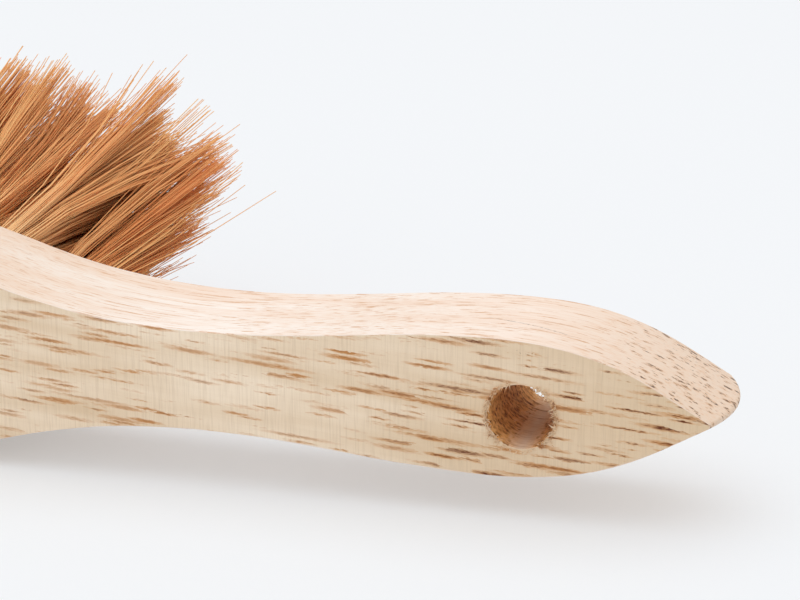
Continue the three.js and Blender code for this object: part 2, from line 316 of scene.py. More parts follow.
# Where the drying check runs: near its line, between its ends and on the upper side
def checkMask(tree, place, wander):
    add = partial(addNode, tree)
    mathNode, mapRange = "ShaderNodeMath", "ShaderNodeMapRange"
    (startX, startY), (endX, endY) = dryingCheck["from"], dryingCheck["to"]
    spot = add("ShaderNodeSeparateXYZ", [place])
    line = add(mapRange, [spot, startX * mm, endX * mm, startY * mm, endY * mm])
    off = add(mathNode, [spot.node.outputs["Y"], line], operation="SUBTRACT")
    off = add(mathNode, [wander, dryingCheck["stray"] * mm, off], operation="MULTIPLY_ADD")
    off = add(mathNode, [off, dryingCheck["stray"] * 0.5 * mm], operation="SUBTRACT")
    off = add(mathNode, [off], operation="ABSOLUTE")
    mask = add(mapRange, [off, 0.0, dryingCheck["width"] * mm, dryingCheck["darkness"], 0.0])
    middle, reach = (startX + endX) / 2, (endX - startX) / 2
    fromMiddle = add(mathNode, [spot, middle * mm], operation="SUBTRACT")
    fromMiddle = add(mathNode, [fromMiddle], operation="ABSOLUTE")
    even = dryingCheck["evenShare"] * reach
    inside = add(mapRange, [fromMiddle, even * mm, reach * mm, 1.0, 0.0])
    mask = add(mathNode, [mask, inside], operation="MULTIPLY")
    upper = add(mathNode, [spot.node.outputs["Z"], dryingCheck["above"] * mm], operation="GREATER_THAN")
    return add(mathNode, [mask, upper], operation="MULTIPLY")


wood = {name: makeRubberwood(name, finish) for name, finish in finishes.items()}


# Coir, the combed husk fibre of the coconut. It is orange brown and slightly waxy, no two fibres
# alike. Near the roots it is painted paler: painted fill light against the shade that the fibre mass casts
# on itself there.
coir = {
    "dark": "#F29650", "light": "#FFC782", "root": "#FFCE92", "rootShare": 0.45, "rootDepth": 0.9,
    "roughness": (0.5, 0.62),
}


def makeCoir():
    material = newMaterial("coirFibre")
    tree = material.node_tree
    add = partial(addNode, tree)
    tone = add("ShaderNodeAttribute", output="Fac", attribute_name="tone")
    share = add("ShaderNodeAttribute", output="Fac", attribute_name="share")
    colour = add(
        "ShaderNodeMix", {0: tone, 6: linear(coir["dark"]), 7: linear(coir["light"])},
        output=2, data_type="RGBA",
    )
    # painted light: the fibres are drawn paler towards their roots, against the shade of the fibre mass
    paintedRootLight = add("ShaderNodeMapRange", [share, 0.0, coir["rootShare"], coir["rootDepth"], 0.0])
    colour = add(
        "ShaderNodeMix", {0: paintedRootLight, 6: colour, 7: linear(coir["root"])}, output=2, data_type="RGBA"
    )
    roughness = add("ShaderNodeMapRange", [tone, 0.0, 1.0, *coir["roughness"]])
    shader = add("ShaderNodeBsdfPrincipled", {"Base Color": colour, "Roughness": roughness})
    add("ShaderNodeOutputMaterial", [shader])
    return material


# Drawn and flattened steel wire: grey, with fine lines along its length
wire = {
    "pale": "#C3C6C7", "deep": "#9DA1A3", "lineLength": 4.0, "lineWidth": 0.15, "turn": 45.0,
    "roughness": (0.28, 0.42),
}


def makeWire():
    material = newMaterial("steelWire")
    tree = material.node_tree
    add = partial(addNode, tree)
    place = add("ShaderNodeTexCoord", output="Object")
    turned = add("ShaderNodeMapping", {"Vector": place, "Rotation": (0, math.radians(wire["turn"]), 0)})
    length, width = 1 / (wire["lineLength"] * mm), 1 / (wire["lineWidth"] * mm)
    sized = add("ShaderNodeVectorMath", [turned, (length, width, width)], operation="MULTIPLY")
    lines = add("ShaderNodeTexNoise", {"Vector": sized, "Scale": 1.0})
    colour = add(
        "ShaderNodeMix", {0: lines, 6: linear(wire["pale"]), 7: linear(wire["deep"])},
        output=2, data_type="RGBA",
    )
    roughness = add("ShaderNodeMapRange", [lines, *noiseSpan, *wire["roughness"]])
    shader = add(
        "ShaderNodeBsdfPrincipled", {"Base Color": colour, "Metallic": 1.0, "Roughness": roughness}
    )
    add("ShaderNodeOutputMaterial", [shader])
    return material


coirFibre = makeCoir()
steelWire = makeWire()
print("materials made")


# Board: handle and head from one piece of wood, in mm. The sweeps say how far each curve of the plan
# keeps its first and last direction.
board = {
    "thickness": 24.0, "headLength": 124.0, "headWidth": 35.0, "headCorner": 14.0,
    "handleLength": 134.0, "gripWidth": 21.5, "gripFromTip": 33.6,
    "neckWidth": 15.9, "neckFromTip": 78.0,
    "tipRadius": 0.6, "tipHalfAngle": 30.0, "noseBulge": 2.7, "noseReach": 28.5,
    "tipSweep": 0.32, "gripFrontSweep": 0.52, "gripBackSweep": 0.29, "neckFrontSweep": 0.32,
    "neckBackSweep": 0.58, "shoulderSweep": 0.26,
    "edgeRadius": 0.12, "edgeWobble": 0.14, "sandingWave": 0.12, "waveLength": 17.0, "wobbleLength": 6.0,
    "flatRest": 3.0, "curveSteps": 70, "straightSteps": 60, "cornerSteps": 20, "tipSteps": 8,
    "edgeSteps": 4, "sideLevels": 11,
}
tipX = board["headLength"] / 2 + board["handleLength"]
faceY = board["thickness"] / 2
axisZ = board["headWidth"] / 2


# Upper half of the plan, from the tip to the far end, set in by the tip's radius
def planHalf():
    inset = board["tipRadius"]
    angle = math.radians(board["tipHalfAngle"])
    shoulderX = board["headLength"] / 2
    startX, gripX, neckX = tipX - inset, tipX - board["gripFromTip"], tipX - board["neckFromTip"]
    grip, neck, head = (board[k] / 2 - inset for k in ("gripWidth", "neckWidth", "headWidth"))
    corner = board["headCorner"] - inset
    farX = -board["headLength"] / 2 + inset
    tipRun = board["tipSweep"] * board["gripFromTip"]
    frontRun = board["gripFrontSweep"] * board["gripFromTip"]
    waist, flare = gripX - neckX, neckX - shoulderX
    curves = [
        [(startX, 0), (startX - tipRun * math.cos(angle), tipRun * math.sin(angle)),
         (gripX + frontRun, grip), (gripX, grip)],
        [(gripX, grip), (gripX - board["gripBackSweep"] * waist, grip),
         (neckX + board["neckFrontSweep"] * waist, neck), (neckX, neck)],
        [(neckX, neck), (neckX - board["neckBackSweep"] * flare, neck),
         (shoulderX + board["shoulderSweep"] * flare, head), (shoulderX, head)],
    ]
    points = [Vector((startX, 0))]
    for curve in curves:
        points += interpolate_bezier(*(Vector(p) for p in curve), board["curveSteps"])[1:]
    straight = board["straightSteps"]
    for k in range(1, straight):
        points.append(Vector((shoulderX + (farX + corner - shoulderX) * k / straight, head)))
    for k in range(board["cornerSteps"] + 1):
        turn = math.pi / 2 * (1 + k / board["cornerSteps"])
        points.append(Vector((farX + corner * (1 + math.cos(turn)), head - corner * (1 - math.sin(turn)))))
    points.append(Vector((farX, 0)))
    return points


# The whole plan: each point with the direction that it swells in
def planOutline():
    points = planHalf()
    steepest = math.pi / 2 - math.radians(board["tipHalfAngle"])
    upper = []
    for k in range(board["tipSteps"] + 1):
        angle = steepest * k / board["tipSteps"]
        upper.append((points[0], Vector((math.cos(angle), math.sin(angle)))))
    for before, here, after in zip(points, points[1:], points[2:]):
        run = (after - before).normalized()
        upper.append((here, Vector((run.y, -run.x))))
    upper.append((points[-1], Vector((-1, 0))))
    lower = [(Vector((p.x, -p.y)), Vector((d.x, -d.y))) for p, d in reversed(upper[1:-1])]
    return upper + lower


# Rings from face to face: the distance through the board, and how far the eased edge is drawn in
def boardRings():
    radius, half = board["edgeRadius"], board["thickness"] / 2
    edge = []
    for k in range(board["edgeSteps"] + 1):
        turn = math.pi / 2 * k / board["edgeSteps"]
        edge.append((-half + radius * (1 - math.cos(turn)), radius * (1 - math.sin(turn))))
    sides = board["sideLevels"]
    middle = [((2 * k / sides - 1) * (half - radius), 0.0) for k in range(1, sides)]
    return edge + middle + [(-y, drawn) for y, drawn in reversed(edge)]


def boardSkin():
    outline = planOutline()
    rings = boardRings()
    mesh = bmesh.new()
    sanded = mesh.faces.layers.bool.new("sanded")
    loops = []
    for y, drawn in rings:
        crown = 1 - (y / faceY) ** 2
        eased = drawn / board["edgeRadius"]
        loop = []
        for at, out in outline:
            near = max(0.0, 1 - (tipX - at.x) / board["noseReach"]) ** 2 * crown
            swell = board["tipRadius"] - drawn
            place = Vector((at.x + out.x * swell + board["noseBulge"] * near, y, at.y + out.y * swell))
            wave = noise.noise(place / board["waveLength"]) * board["sandingWave"]
            spot = Vector((at.x, 0, at.y)) / board["wobbleLength"]
            wave -= board["edgeWobble"] * (0.5 + noise.noise(spot + Vector((0, y, 0)))) * eased
            offRest = min(1.0, max(0.0, (place.z + axisZ) / board["flatRest"]))
            place += Vector((out.x, 0, out.y)) * wave * offRest
            loop.append(mesh.verts.new((place + Vector((0, 0, axisZ))) * mm))
        loops.append(loop)
    size = len(outline)
    for ring in range(len(loops) - 1):
        lower, upper = loops[ring], loops[ring + 1]
        between = rings[ring][1] + rings[ring + 1][1] < board["edgeRadius"]
        for k in range(size):
            n = (k + 1) % size
            side = mesh.faces.new((lower[k], upper[k], upper[n], lower[n]))
            side[sanded] = between
            side.smooth = True
    mesh.faces.new(loops[0])
    mesh.faces.new(list(reversed(loops[-1])))
    bmesh.ops.recalc_face_normals(mesh, faces=mesh.faces)
    skin = bpy.data.meshes.new("woodenBoard")
    mesh.to_mesh(skin)
    mesh.free()
    skin.materials.append(wood["rubberwoodSawn"])
    return skin


# Hang hole: a drill bit's path, with fibres torn out at both rims where the bit left the end grain
hangHole = {
    "diameter": 10.0, "fromTip": 28.0, "drop": 1.1, "sides": 128, "levels": 60, "overrun": 1.0,
    "fibreRelief": 0.22, "fibreSize": 0.5, "fibreStretch": 2.0, "tearDepth": 0.8, "tear": 0.9,
    "tearSize": 0.5, "tearFrom": 0.2, "tearEase": 0.1, "rimShift": 9.0,
    "splinters": 520, "splinterLength": 0.9, "splinterRadius": 0.16, "splinterInset": 0.1,
    "splinterSpread": 0.6, "splinterSides": 3, "splinterLean": (0.9, 0.4, 0.9), "splinterInward": 0.4,
    "splinterChance": (0.2, 0.9, 0.05, 0.8), "splinterLeast": (0.6, 0.6, 0.4),
    "splinterMost": (1.3, 1.3, 1.5), "seed": 3,
}


def hangHoleCutter():
    centre = Vector((tipX - hangHole["fromTip"], 0, axisZ - hangHole["drop"]))
    mesh = bmesh.new()
    loops = []
    reach = faceY + hangHole["overrun"]
    for level in range(hangHole["levels"] + 1):
        y = (2 * level / hangHole["levels"] - 1) * reach
        nearRim = max(0.0, 1 - max(faceY - abs(y), 0) / hangHole["tearDepth"])
        loop = []
        for k in range(hangHole["sides"]):
            turn = 2 * math.pi * k / hangHole["sides"]
            across = abs(math.cos(turn))
            radius = hangHole["diameter"] / 2
            wall = Vector((math.cos(turn) * radius, 0, math.sin(turn) * radius))
            fibreSpot = wall + Vector((0, y / hangHole["fibreStretch"], 0))
            fibre = noise.noise(fibreSpot / hangHole["fibreSize"])
            shift = Vector((0, math.copysign(hangHole["rimShift"], y), 0))
            torn = max(0.0, hangHole["tearEase"] + noise.noise(wall / hangHole["tearSize"] + shift))
            radius += hangHole["fibreRelief"] * across * fibre
            radius += hangHole["tear"] * nearRim * max(0.0, across - hangHole["tearFrom"]) * torn
            place = centre + Vector((math.cos(turn) * radius, y, math.sin(turn) * radius))
            loop.append(mesh.verts.new(place * mm))
        loops.append(loop)
    for lower, upper in zip(loops, loops[1:]):
        for k in range(hangHole["sides"]):
            n = (k + 1) % hangHole["sides"]
            mesh.faces.new((lower[k], upper[k], upper[n], lower[n])).smooth = True
    mesh.faces.new(loops[0])
    mesh.faces.new(list(reversed(loops[-1])))
    bmesh.ops.recalc_face_normals(mesh, faces=mesh.faces)
    data = bpy.data.meshes.new("hangHoleCutter")
    mesh.to_mesh(data)
    mesh.free()
    cutter = bpy.data.objects.new("hangHoleCutter", data)
    scene.collection.objects.link(cutter)
    return cutter


# Tufts: three rows, the middle one staggered by half a pitch, in mm
tufts = {
    "holeDiameter": 6.0, "holeDepth": 15.0, "pitch": 10.9, "rowPitch": 10.5,
    "outerCount": 12, "fieldCentre": 12.0, "holeSides": 20, "overrun": 2.0,
}


# Drills the tuft holes and the hang hole, and leaves torn splinters round the hang hole's rims
def drillTree(sizes):
    tree, size = newTree("drilledBoard", sizes)
    add = partial(addNode, tree)
    vectorMath = "ShaderNodeVectorMath"
    drill = add(
        "GeometryNodeMeshCylinder",
        {"Vertices": size["Hole Sides"], "Radius": size["Hole Radius"], "Depth": size["Hole Depth"]},
    )
    drill = add("GeometryNodeTransform", {"Geometry": drill, "Rotation": (math.pi / 2, 0, 0)})
    cuts = tree.nodes.new("GeometryNodeJoinGeometry")
    for row in ("Lower", "Middle", "Upper"):
        line = add(
            "GeometryNodeMeshLine",
            {"Count": size[row + " Count"], "Start Location": size[row + " Start"],
             "Offset": size["Tuft Step"]},
        )
        holes = add("GeometryNodeInstanceOnPoints", {"Points": line, "Instance": drill})
        tree.links.new(add("GeometryNodeRealizeInstances", [holes]), cuts.inputs[0])
    hang = add("GeometryNodeObjectInfo", [size["Hang Hole"]], output="Geometry")
    tree.links.new(hang, cuts.inputs[0])
    cutters = add(
        "GeometryNodeSetMaterial", {"Geometry": cuts.outputs[0], "Material": size["Drilled Wood"]}
    )
    whole = tree.nodes.new("GeometryNodeJoinGeometry")
    cutBoard = add(
        "GeometryNodeMeshBoolean",
        {"Mesh 1": size["Geometry"], "Mesh 2": cutters}, operation="DIFFERENCE",
    )
    tree.links.new(cutBoard, whole.inputs[0])

    # splinters lean into the hole and out of the face, most of them where the bit crossed the end grain
    splinter = add(
        "GeometryNodeMeshCone",
        {"Vertices": hangHole["splinterSides"], "Radius Top": 0.0,
         "Radius Bottom": size["Splinter Radius"], "Depth": size["Splinter Length"]},
    )
    position = add("GeometryNodeInputPosition")
    lean, inwardShare = hangHole["splinterLean"], hangHole["splinterInward"]
    for rim, seed in (("Back Rim", 0), ("Face Rim", 2)):
        circle = add(
            "GeometryNodeMeshCircle", {"Vertices": size["Splinters"], "Radius": size["Rim Radius"]}
        )
        circle = add(
            "GeometryNodeTransform",
            {"Geometry": circle, "Translation": size[rim], "Rotation": (math.pi / 2, 0, 0)},
        )
        inward = add(vectorMath, [size[rim], position], operation="SUBTRACT")
        inward = add(vectorMath, [inward], operation="NORMALIZE")
        outward = add(vectorMath, [size[rim], (0.0, 1.0, 0.0)], operation="MULTIPLY")
        outward = add(vectorMath, [outward], operation="NORMALIZE")
        seeds = [
            add("ShaderNodeMath", [size["Splinter Seed"], seed + k], operation="ADD")
            for k in (0, 1)
        ]
        aim = add(
            "FunctionNodeRandomValue",
            {"Min": tuple(-most for most in lean), "Max": lean, "Seed": seeds[0]}, data_type="FLOAT_VECTOR",
        )
        aim = add(vectorMath, [aim, outward], operation="ADD")
        aim = add(vectorMath, [inward, [inwardShare] * 3, aim], operation="MULTIPLY_ADD")
        turned = add("FunctionNodeAlignRotationToVector", {"Vector": aim}, axis="Z")
        across = add("ShaderNodeSeparateXYZ", [inward])
        across = add("ShaderNodeMath", [across], operation="ABSOLUTE")
        chance = add("ShaderNodeMapRange", [across, *hangHole["splinterChance"]])
        chosen = add(
            "FunctionNodeRandomValue", {"Probability": chance, "Seed": seeds[1]},
            output=3, data_type="BOOLEAN",
        )
        length = add(
            "FunctionNodeRandomValue",
            {"Min": hangHole["splinterLeast"], "Max": hangHole["splinterMost"], "Seed": seeds[1]},
            data_type="FLOAT_VECTOR",
        )
        spread = add(
            "FunctionNodeRandomValue", {"Max": size["Splinter Spread"], "Seed": seeds[0]},
            output=1, data_type="FLOAT",
        )
        spread = add("ShaderNodeMath", [spread, -1.0], operation="MULTIPLY")
        spread = add(vectorMath, {0: inward, "Scale": spread}, operation="SCALE")
        circle = add("GeometryNodeSetPosition", {"Geometry": circle, "Offset": spread})
        standing = add(
            "GeometryNodeInstanceOnPoints",
            {"Points": circle, "Selection": chosen, "Instance": splinter,
             "Rotation": turned, "Scale": length},
        )
        standing = add("GeometryNodeSetMaterial", {"Geometry": standing, "Material": size["Torn Wood"]})
        tree.links.new(standing, whole.inputs[0])
    finished = add("GeometryNodeRealizeInstances", [whole.outputs[0]])
    sanded = add("GeometryNodeInputNamedAttribute", ["sanded"], data_type="BOOLEAN")
    finished = add(
        "GeometryNodeSetMaterial",
        {"Geometry": finished, "Selection": sanded, "Material": size["Sanded Wood"]},
    )
    tree.links.new(finished, tree.nodes.new("NodeGroupOutput").inputs[0])
    return tree


def rowStart(across, count, y):
    x = tufts["fieldCentre"] - (count - 1) / 2 * tufts["pitch"]
    return (x * mm, y * mm, (axisZ + across * tufts["rowPitch"]) * mm)


def makeBoard():
    drillY = faceY - (tufts["holeDepth"] - tufts["overrun"]) / 2
    outer = tufts["outerCount"]
    holeX, holeZ = (tipX - hangHole["fromTip"]) * mm, (axisZ - hangHole["drop"]) * mm
    rimY = (faceY - hangHole["splinterInset"]) * mm
    cutter = hangHoleCutter()
    sizes = {
        "Hole Sides": tufts["holeSides"],
        "Hole Radius": tufts["holeDiameter"] / 2 * mm,
        "Hole Depth": (tufts["holeDepth"] + tufts["overrun"]) * mm,
        "Tuft Step": (tufts["pitch"] * mm, 0.0, 0.0),
        "Lower Count": outer, "Lower Start": rowStart(-1, outer, drillY),
        "Middle Count": outer + 1, "Middle Start": rowStart(0, outer + 1, drillY),
        "Upper Count": outer, "Upper Start": rowStart(1, outer, drillY),
        "Hang Hole": cutter,
        "Back Rim": (holeX, -rimY, holeZ),
        "Face Rim": (holeX, rimY, holeZ),
        "Rim Radius": (hangHole["diameter"] / 2 + hangHole["splinterInset"]) * mm,
        "Splinters": hangHole["splinters"],
        "Splinter Length": hangHole["splinterLength"] * mm,
        "Splinter Radius": hangHole["splinterRadius"] * mm,
        "Splinter Spread": hangHole["splinterSpread"] * mm,
        "Splinter Seed": hangHole["seed"],
        "Torn Wood": wood["rubberwoodSawn"],
        "Sanded Wood": wood["rubberwoodSanded"],
        "Drilled Wood": wood["rubberwoodDrilled"],
    }
    piece = growPiece("woodenBoard", boardSkin(), drillTree(sizes), sizes)
    bpy.data.objects.remove(cutter)
    mesh = piece.data
    sawn = mesh.materials.find("rubberwoodSawn")
    crosswise = [abs(normal.vector.x) for normal in mesh.corner_normals]
    for face in mesh.polygons:
        if face.material_index == sawn:  # the faces and splinters run along the grain
            for corner in face.loop_indices:
                crosswise[corner] = 0.0
    mesh.attributes.new("endGrain", "FLOAT", "CORNER").data.foreach_set("value", crosswise)
    return piece


woodenBoard = makeBoard()
print("board made, faces:", len(woodenBoard.data.polygons))


# Bristles: coir fibres that spread from the head, with the lowest along the surface it lies on
bristles = {
    "fibresPerTuft": 1080, "knots": 5, "tuftRadius": 2.7, "rootDepth": 10.4,
    "length": 61.0, "lengthSpread": 0.2, "lockEvenness": 0.5, "lockSize": 1.6, "lockPull": 0.7,
    "lockReach": 4.0, "fibreReach": 1.5, "strayReach": 5.0, "flare": 1.9, "bow": 2.4, "frizz": 1.8,
    "lowest": 1.2, "spreadHeight": 54.5, "cornerDroop": 7.0, "fieldHalf": 65.4, "bend": 1.32,
    "sides": 3, "radius": 0.13, "thickness": (0.8, 1.2), "taper": 0.55, "taperFrom": 0.3, "floorGap": 0.3,
    "strayPower": 5.0,  # few fibres stray far
    "frizzWaves": 4.0, "frizzStep": 0.731,
    "tuftKey": 131.0, "lockKeys": (163, 9871),  # give each lock a number of its own for its draws
    "seed": 21, "seedStep": 10,
}
# each row's tips: their share of the spread's height, and how far they splay at the head's ends
rows = [
    {"name": "Lower", "across": -1, "extra": 0, "tips": (0.0, 0.36), "splay": (-6.0, 1.0)},
    {"name": "Middle", "across": 0, "extra": 1, "tips": (0.2, 0.82), "splay": (-1.0, 21.0)},
    {"name": "Upper", "across": 1, "extra": 0, "tips": (0.5, 1.0), "splay": (13.0, 15.5)},
]


def coirTree(sizes):
    tree, size = newTree("coirTufts", sizes)
    add = partial(addNode, tree)
    mathNode, vectorMath, mapRange = "ShaderNodeMath", "ShaderNodeVectorMath", "ShaderNodeMapRange"
    storeNode, duplicateNode = "GeometryNodeStoreNamedAttribute", "GeometryNodeDuplicateElements"
    split = "ShaderNodeSeparateXYZ"
    index = add("GeometryNodeInputIndex")
    tuft = add(mathNode, [index, size["First Tuft"]], operation="ADD")
    place = add(vectorMath, [tuft, size["Tuft Step"], size["Row Start"]], operation="MULTIPLY_ADD")

    # one point for each tuft, then each fibre, then each knot along a fibre
    points = add("GeometryNodePoints", {"Count": size["Tufts"], "Position": place})
    for label, value, kind in (("tuftPlace", place, "FLOAT_VECTOR"), ("tuftNumber", tuft, "INT")):
        points = add(storeNode, {"Geometry": points, "Name": label, "Value": value}, data_type=kind)
    points = add(duplicateNode, {"Geometry": points, "Amount": size["Fibres"]})
    fibre = add(mathNode, [size["First Tuft"], size["Fibres"], index], operation="MULTIPLY_ADD")
    points = add(storeNode, {"Geometry": points, "Name": "fibre", "Value": fibre}, data_type="INT")
    points = add(duplicateNode, {"Geometry": points, "Amount": size["Knots"]})
    knot = points.node.outputs["Duplicate Index"]
    points = add(storeNode, {"Geometry": points, "Name": "knot", "Value": knot}, data_type="INT")
    kept = {}
    for label in ("tuftPlace", "tuftNumber", "fibre", "knot"):
        kind = "FLOAT_VECTOR" if label == "tuftPlace" else "INT"
        kept[label] = add("GeometryNodeInputNamedAttribute", [label], data_type=kind)
    lastKnot = add(mathNode, [size["Knots"], 1.0], operation="SUBTRACT")
    share = add(mapRange, [kept["knot"], 1.0, lastKnot, 0.0, 1.0])

    # where the fibre stands in its tuft, and the lock that it leans to
    draw = add(
        "FunctionNodeRandomValue", {"ID": kept["fibre"], "Seed": size["Seed"]}, data_type="FLOAT_VECTOR"
    )
    spot = add(split, [draw])
    reach = add(mathNode, [spot], operation="SQRT")
    reach = add(mathNode, [reach, size["Tuft Radius"]], operation="MULTIPLY")
    turn = add(mathNode, [spot.node.outputs[1], 2 * math.pi], operation="MULTIPLY")
    cosine = add(mathNode, [turn], operation="COSINE")
    sine = add(mathNode, [turn], operation="SINE")
    circle = add("ShaderNodeCombineXYZ", {0: cosine, 2: sine})
    offset = add(vectorMath, {0: circle, "Scale": reach}, operation="SCALE")
    lock = add(vectorMath, [offset, size["Lock Size"]], operation="SNAP")
    lockNumber = add(vectorMath, [lock, size["Lock Key"]], output="Value", operation="DOT_PRODUCT")
    lockNumber = add(
        mathNode, [kept["tuftNumber"], bristles["tuftKey"], lockNumber], operation="MULTIPLY_ADD"
    )
    draws = {}
    for label, owner, low in (
        ("lockDrift", lockNumber, -1.0), ("fibreDrift", kept["fibre"], -1.0), ("stray", kept["fibre"], 0.0),
        ("lockBow", lockNumber, -1.0), ("lockTone", lockNumber, 0.0),
    ):
        seed = add(mathNode, [size["Seed"], len(draws) + 1], operation="ADD")
        draws[label] = add(
            "FunctionNodeRandomValue", {"Min": (low, low, low), "ID": owner, "Seed": seed},
            data_type="FLOAT_VECTOR",
        )
    gathered = add(
        "ShaderNodeMix", {0: size["Lock Pull"], 4: offset, 5: lock}, output=1, data_type="VECTOR"
    )
    gathered = add(split, [gathered])

    # how far the tip goes sideways: out towards the head's ends, and up from the surface
    fieldSpot = add(split, [kept["tuftPlace"]])
    fieldSpot = add(mathNode, [fieldSpot, size["Field Centre"]], operation="SUBTRACT")
    fieldSpot = add(mathNode, [fieldSpot, size["Field Half"]], operation="DIVIDE")
    square = add(mathNode, [fieldSpot, fieldSpot], operation="MULTIPLY")
    cube = add(mathNode, [square, fieldSpot], operation="MULTIPLY")
    tuftEdge = add(mathNode, [size["Tuft Radius"], -1.0], operation="MULTIPLY")
    inTuft = add(mapRange, [gathered.node.outputs[2], tuftEdge, size["Tuft Radius"], 0.0, 1.0], clamp=False)
    rise = add(mapRange, [inTuft, 0.0, 1.0, size["Tips From"], size["Tips To"]], clamp=False)
    droop = add(mathNode, [size["Corner Droop"], square], operation="MULTIPLY")
    height = add(mathNode, [size["Spread Height"], droop], operation="SUBTRACT")
    tipZ = add(mathNode, [rise, height, size["Lowest"]], operation="MULTIPLY_ADD")
    splay = add(mapRange, [inTuft, 0.0, 1.0, size["Splay Low"], size["Splay High"]])
    splay = add(mathNode, [splay, cube], operation="MULTIPLY")
    flared = add(mathNode, [gathered, size["Flare"], splay], operation="MULTIPLY_ADD")
    root = add(vectorMath, [kept["tuftPlace"], offset], operation="ADD")
    rootZ = add(split, [root], output=2)
    lift = add(mathNode, [tipZ, rootZ], operation="SUBTRACT")
    aim = add("ShaderNodeCombineXYZ", {0: flared, 2: lift})
    aim = add(vectorMath, [draws["lockDrift"], size["Lock Reach"], aim], operation="MULTIPLY_ADD")
    strayDraw = add(split, [draws["stray"]])
    stray = add(mathNode, [strayDraw, bristles["strayPower"]], operation="POWER")
    stray = add(mathNode, [stray, size["Stray Reach"], size["Fibre Reach"]], operation="MULTIPLY_ADD")
    strayAim = add(vectorMath, {0: draws["fibreDrift"], "Scale": stray}, operation="SCALE")
    aim = add(vectorMath, [strayAim, (1.0, 0.0, 1.0), aim], operation="MULTIPLY_ADD")
    lockDraw = add(split, [draws["lockTone"]])
    shorter = add(
        "ShaderNodeMix",
        {0: size["Lock Evenness"], 2: spot.node.outputs[2], 3: lockDraw.node.outputs[1]},
    )
    shorter = add(mathNode, [shorter, size["Length Spread"]], operation="MULTIPLY")
    shorter = add(mathNode, [1.0, shorter], operation="SUBTRACT")
    length = add(mathNode, [size["Length"], shorter], operation="MULTIPLY")
    sideways = add(vectorMath, [aim, aim], output="Value", operation="DOT_PRODUCT")
    forward = add(mathNode, [length, length], operation="MULTIPLY")
    forward = add(mathNode, [forward, sideways], operation="SUBTRACT")
    forward = add(mathNode, [forward], operation="SQRT")

    # the fibre's path: down the hole at its first knot, then a bent and slightly frizzy sweep
    bend = add(mathNode, [share, size["Bend"]], operation="POWER")
    path = add(vectorMath, {0: aim, "Scale": bend}, operation="SCALE")
    down = add(mapRange, [kept["knot"], 0.0, 1.0, size["Root Depth"], 0.0])
    out = add(mathNode, [forward, share], operation="MULTIPLY")
    out = add(mathNode, [out, down], operation="SUBTRACT")
    out = add("ShaderNodeCombineXYZ", {1: out})
    arch = add(mathNode, [share, math.pi], operation="MULTIPLY")
    arch = add(mathNode, [arch], operation="SINE")
    arch = add(mathNode, [arch, size["Bow"]], operation="MULTIPLY")
    bow = add(vectorMath, {0: draws["lockBow"], "Scale": arch}, operation="SCALE")
    wander = add(mathNode, [kept["fibre"], bristles["frizzStep"], share], operation="MULTIPLY_ADD")
    frizz = add(
        "ShaderNodeTexNoise", {"W": wander, "Scale": bristles["frizzWaves"], "Detail": 1.0},
        output="Color", noise_dimensions="1D",
    )
    frizz = add(vectorMath, [frizz, (0.5, 0.5, 0.5)], operation="SUBTRACT")
    frizzSize = add(mathNode, [share, size["Frizz"]], operation="MULTIPLY")
    frizz = add(vectorMath, {0: frizz, "Scale": frizzSize}, operation="SCALE")
    for step in (out, bow, frizz, root):
        path = add(vectorMath, [path, step], operation="ADD")
    path = add(vectorMath, [path, size["Floor"]], operation="MAXIMUM")
    points = add("GeometryNodeSetPosition", {"Geometry": points, "Position": path})

    # colour for the material: half by lock, half by fibre
    tone = add(mathNode, [lockDraw, strayDraw.node.outputs[1]], operation="ADD")
    tone = add(mathNode, [tone, 0.5], operation="MULTIPLY")
    shown = {}
    for label, value in (("tone", tone), ("share", share)):
        points = add(storeNode, {"Geometry": points, "Name": label, "Value": value})
        shown[label] = add("GeometryNodeInputNamedAttribute", [label])
    curves = add(
        "GeometryNodePointsToCurves",
        {"Points": points, "Curve Group ID": kept["fibre"], "Weight": kept["knot"]},
    )
    taper = add(mapRange, [shown["share"], bristles["taperFrom"], 1.0, 1.0, size["Taper"]])
    thickness = add(mapRange, [shown["tone"], 0.0, 1.0, *bristles["thickness"]])
    thickness = add(mathNode, [thickness, taper], operation="MULTIPLY")
    profile = add(
        "GeometryNodeCurvePrimitiveCircle",
        {"Resolution": bristles["sides"], "Radius": size["Fibre Radius"]},
    )
    fibres = add(
        "GeometryNodeCurveToMesh",
        {"Curve": curves, "Profile Curve": profile, "Scale": thickness, "Fill Caps": True},
    )
    fibres = add("GeometryNodeSetShadeSmooth", {"Geometry": fibres})
    fibres = add("GeometryNodeRealizeInstances", [fibres])
    fibres = add("GeometryNodeSetMaterial", {"Geometry": fibres, "Material": size["Coir"]})
    tree.links.new(fibres, tree.nodes.new("NodeGroupOutput").inputs[0])
    return tree


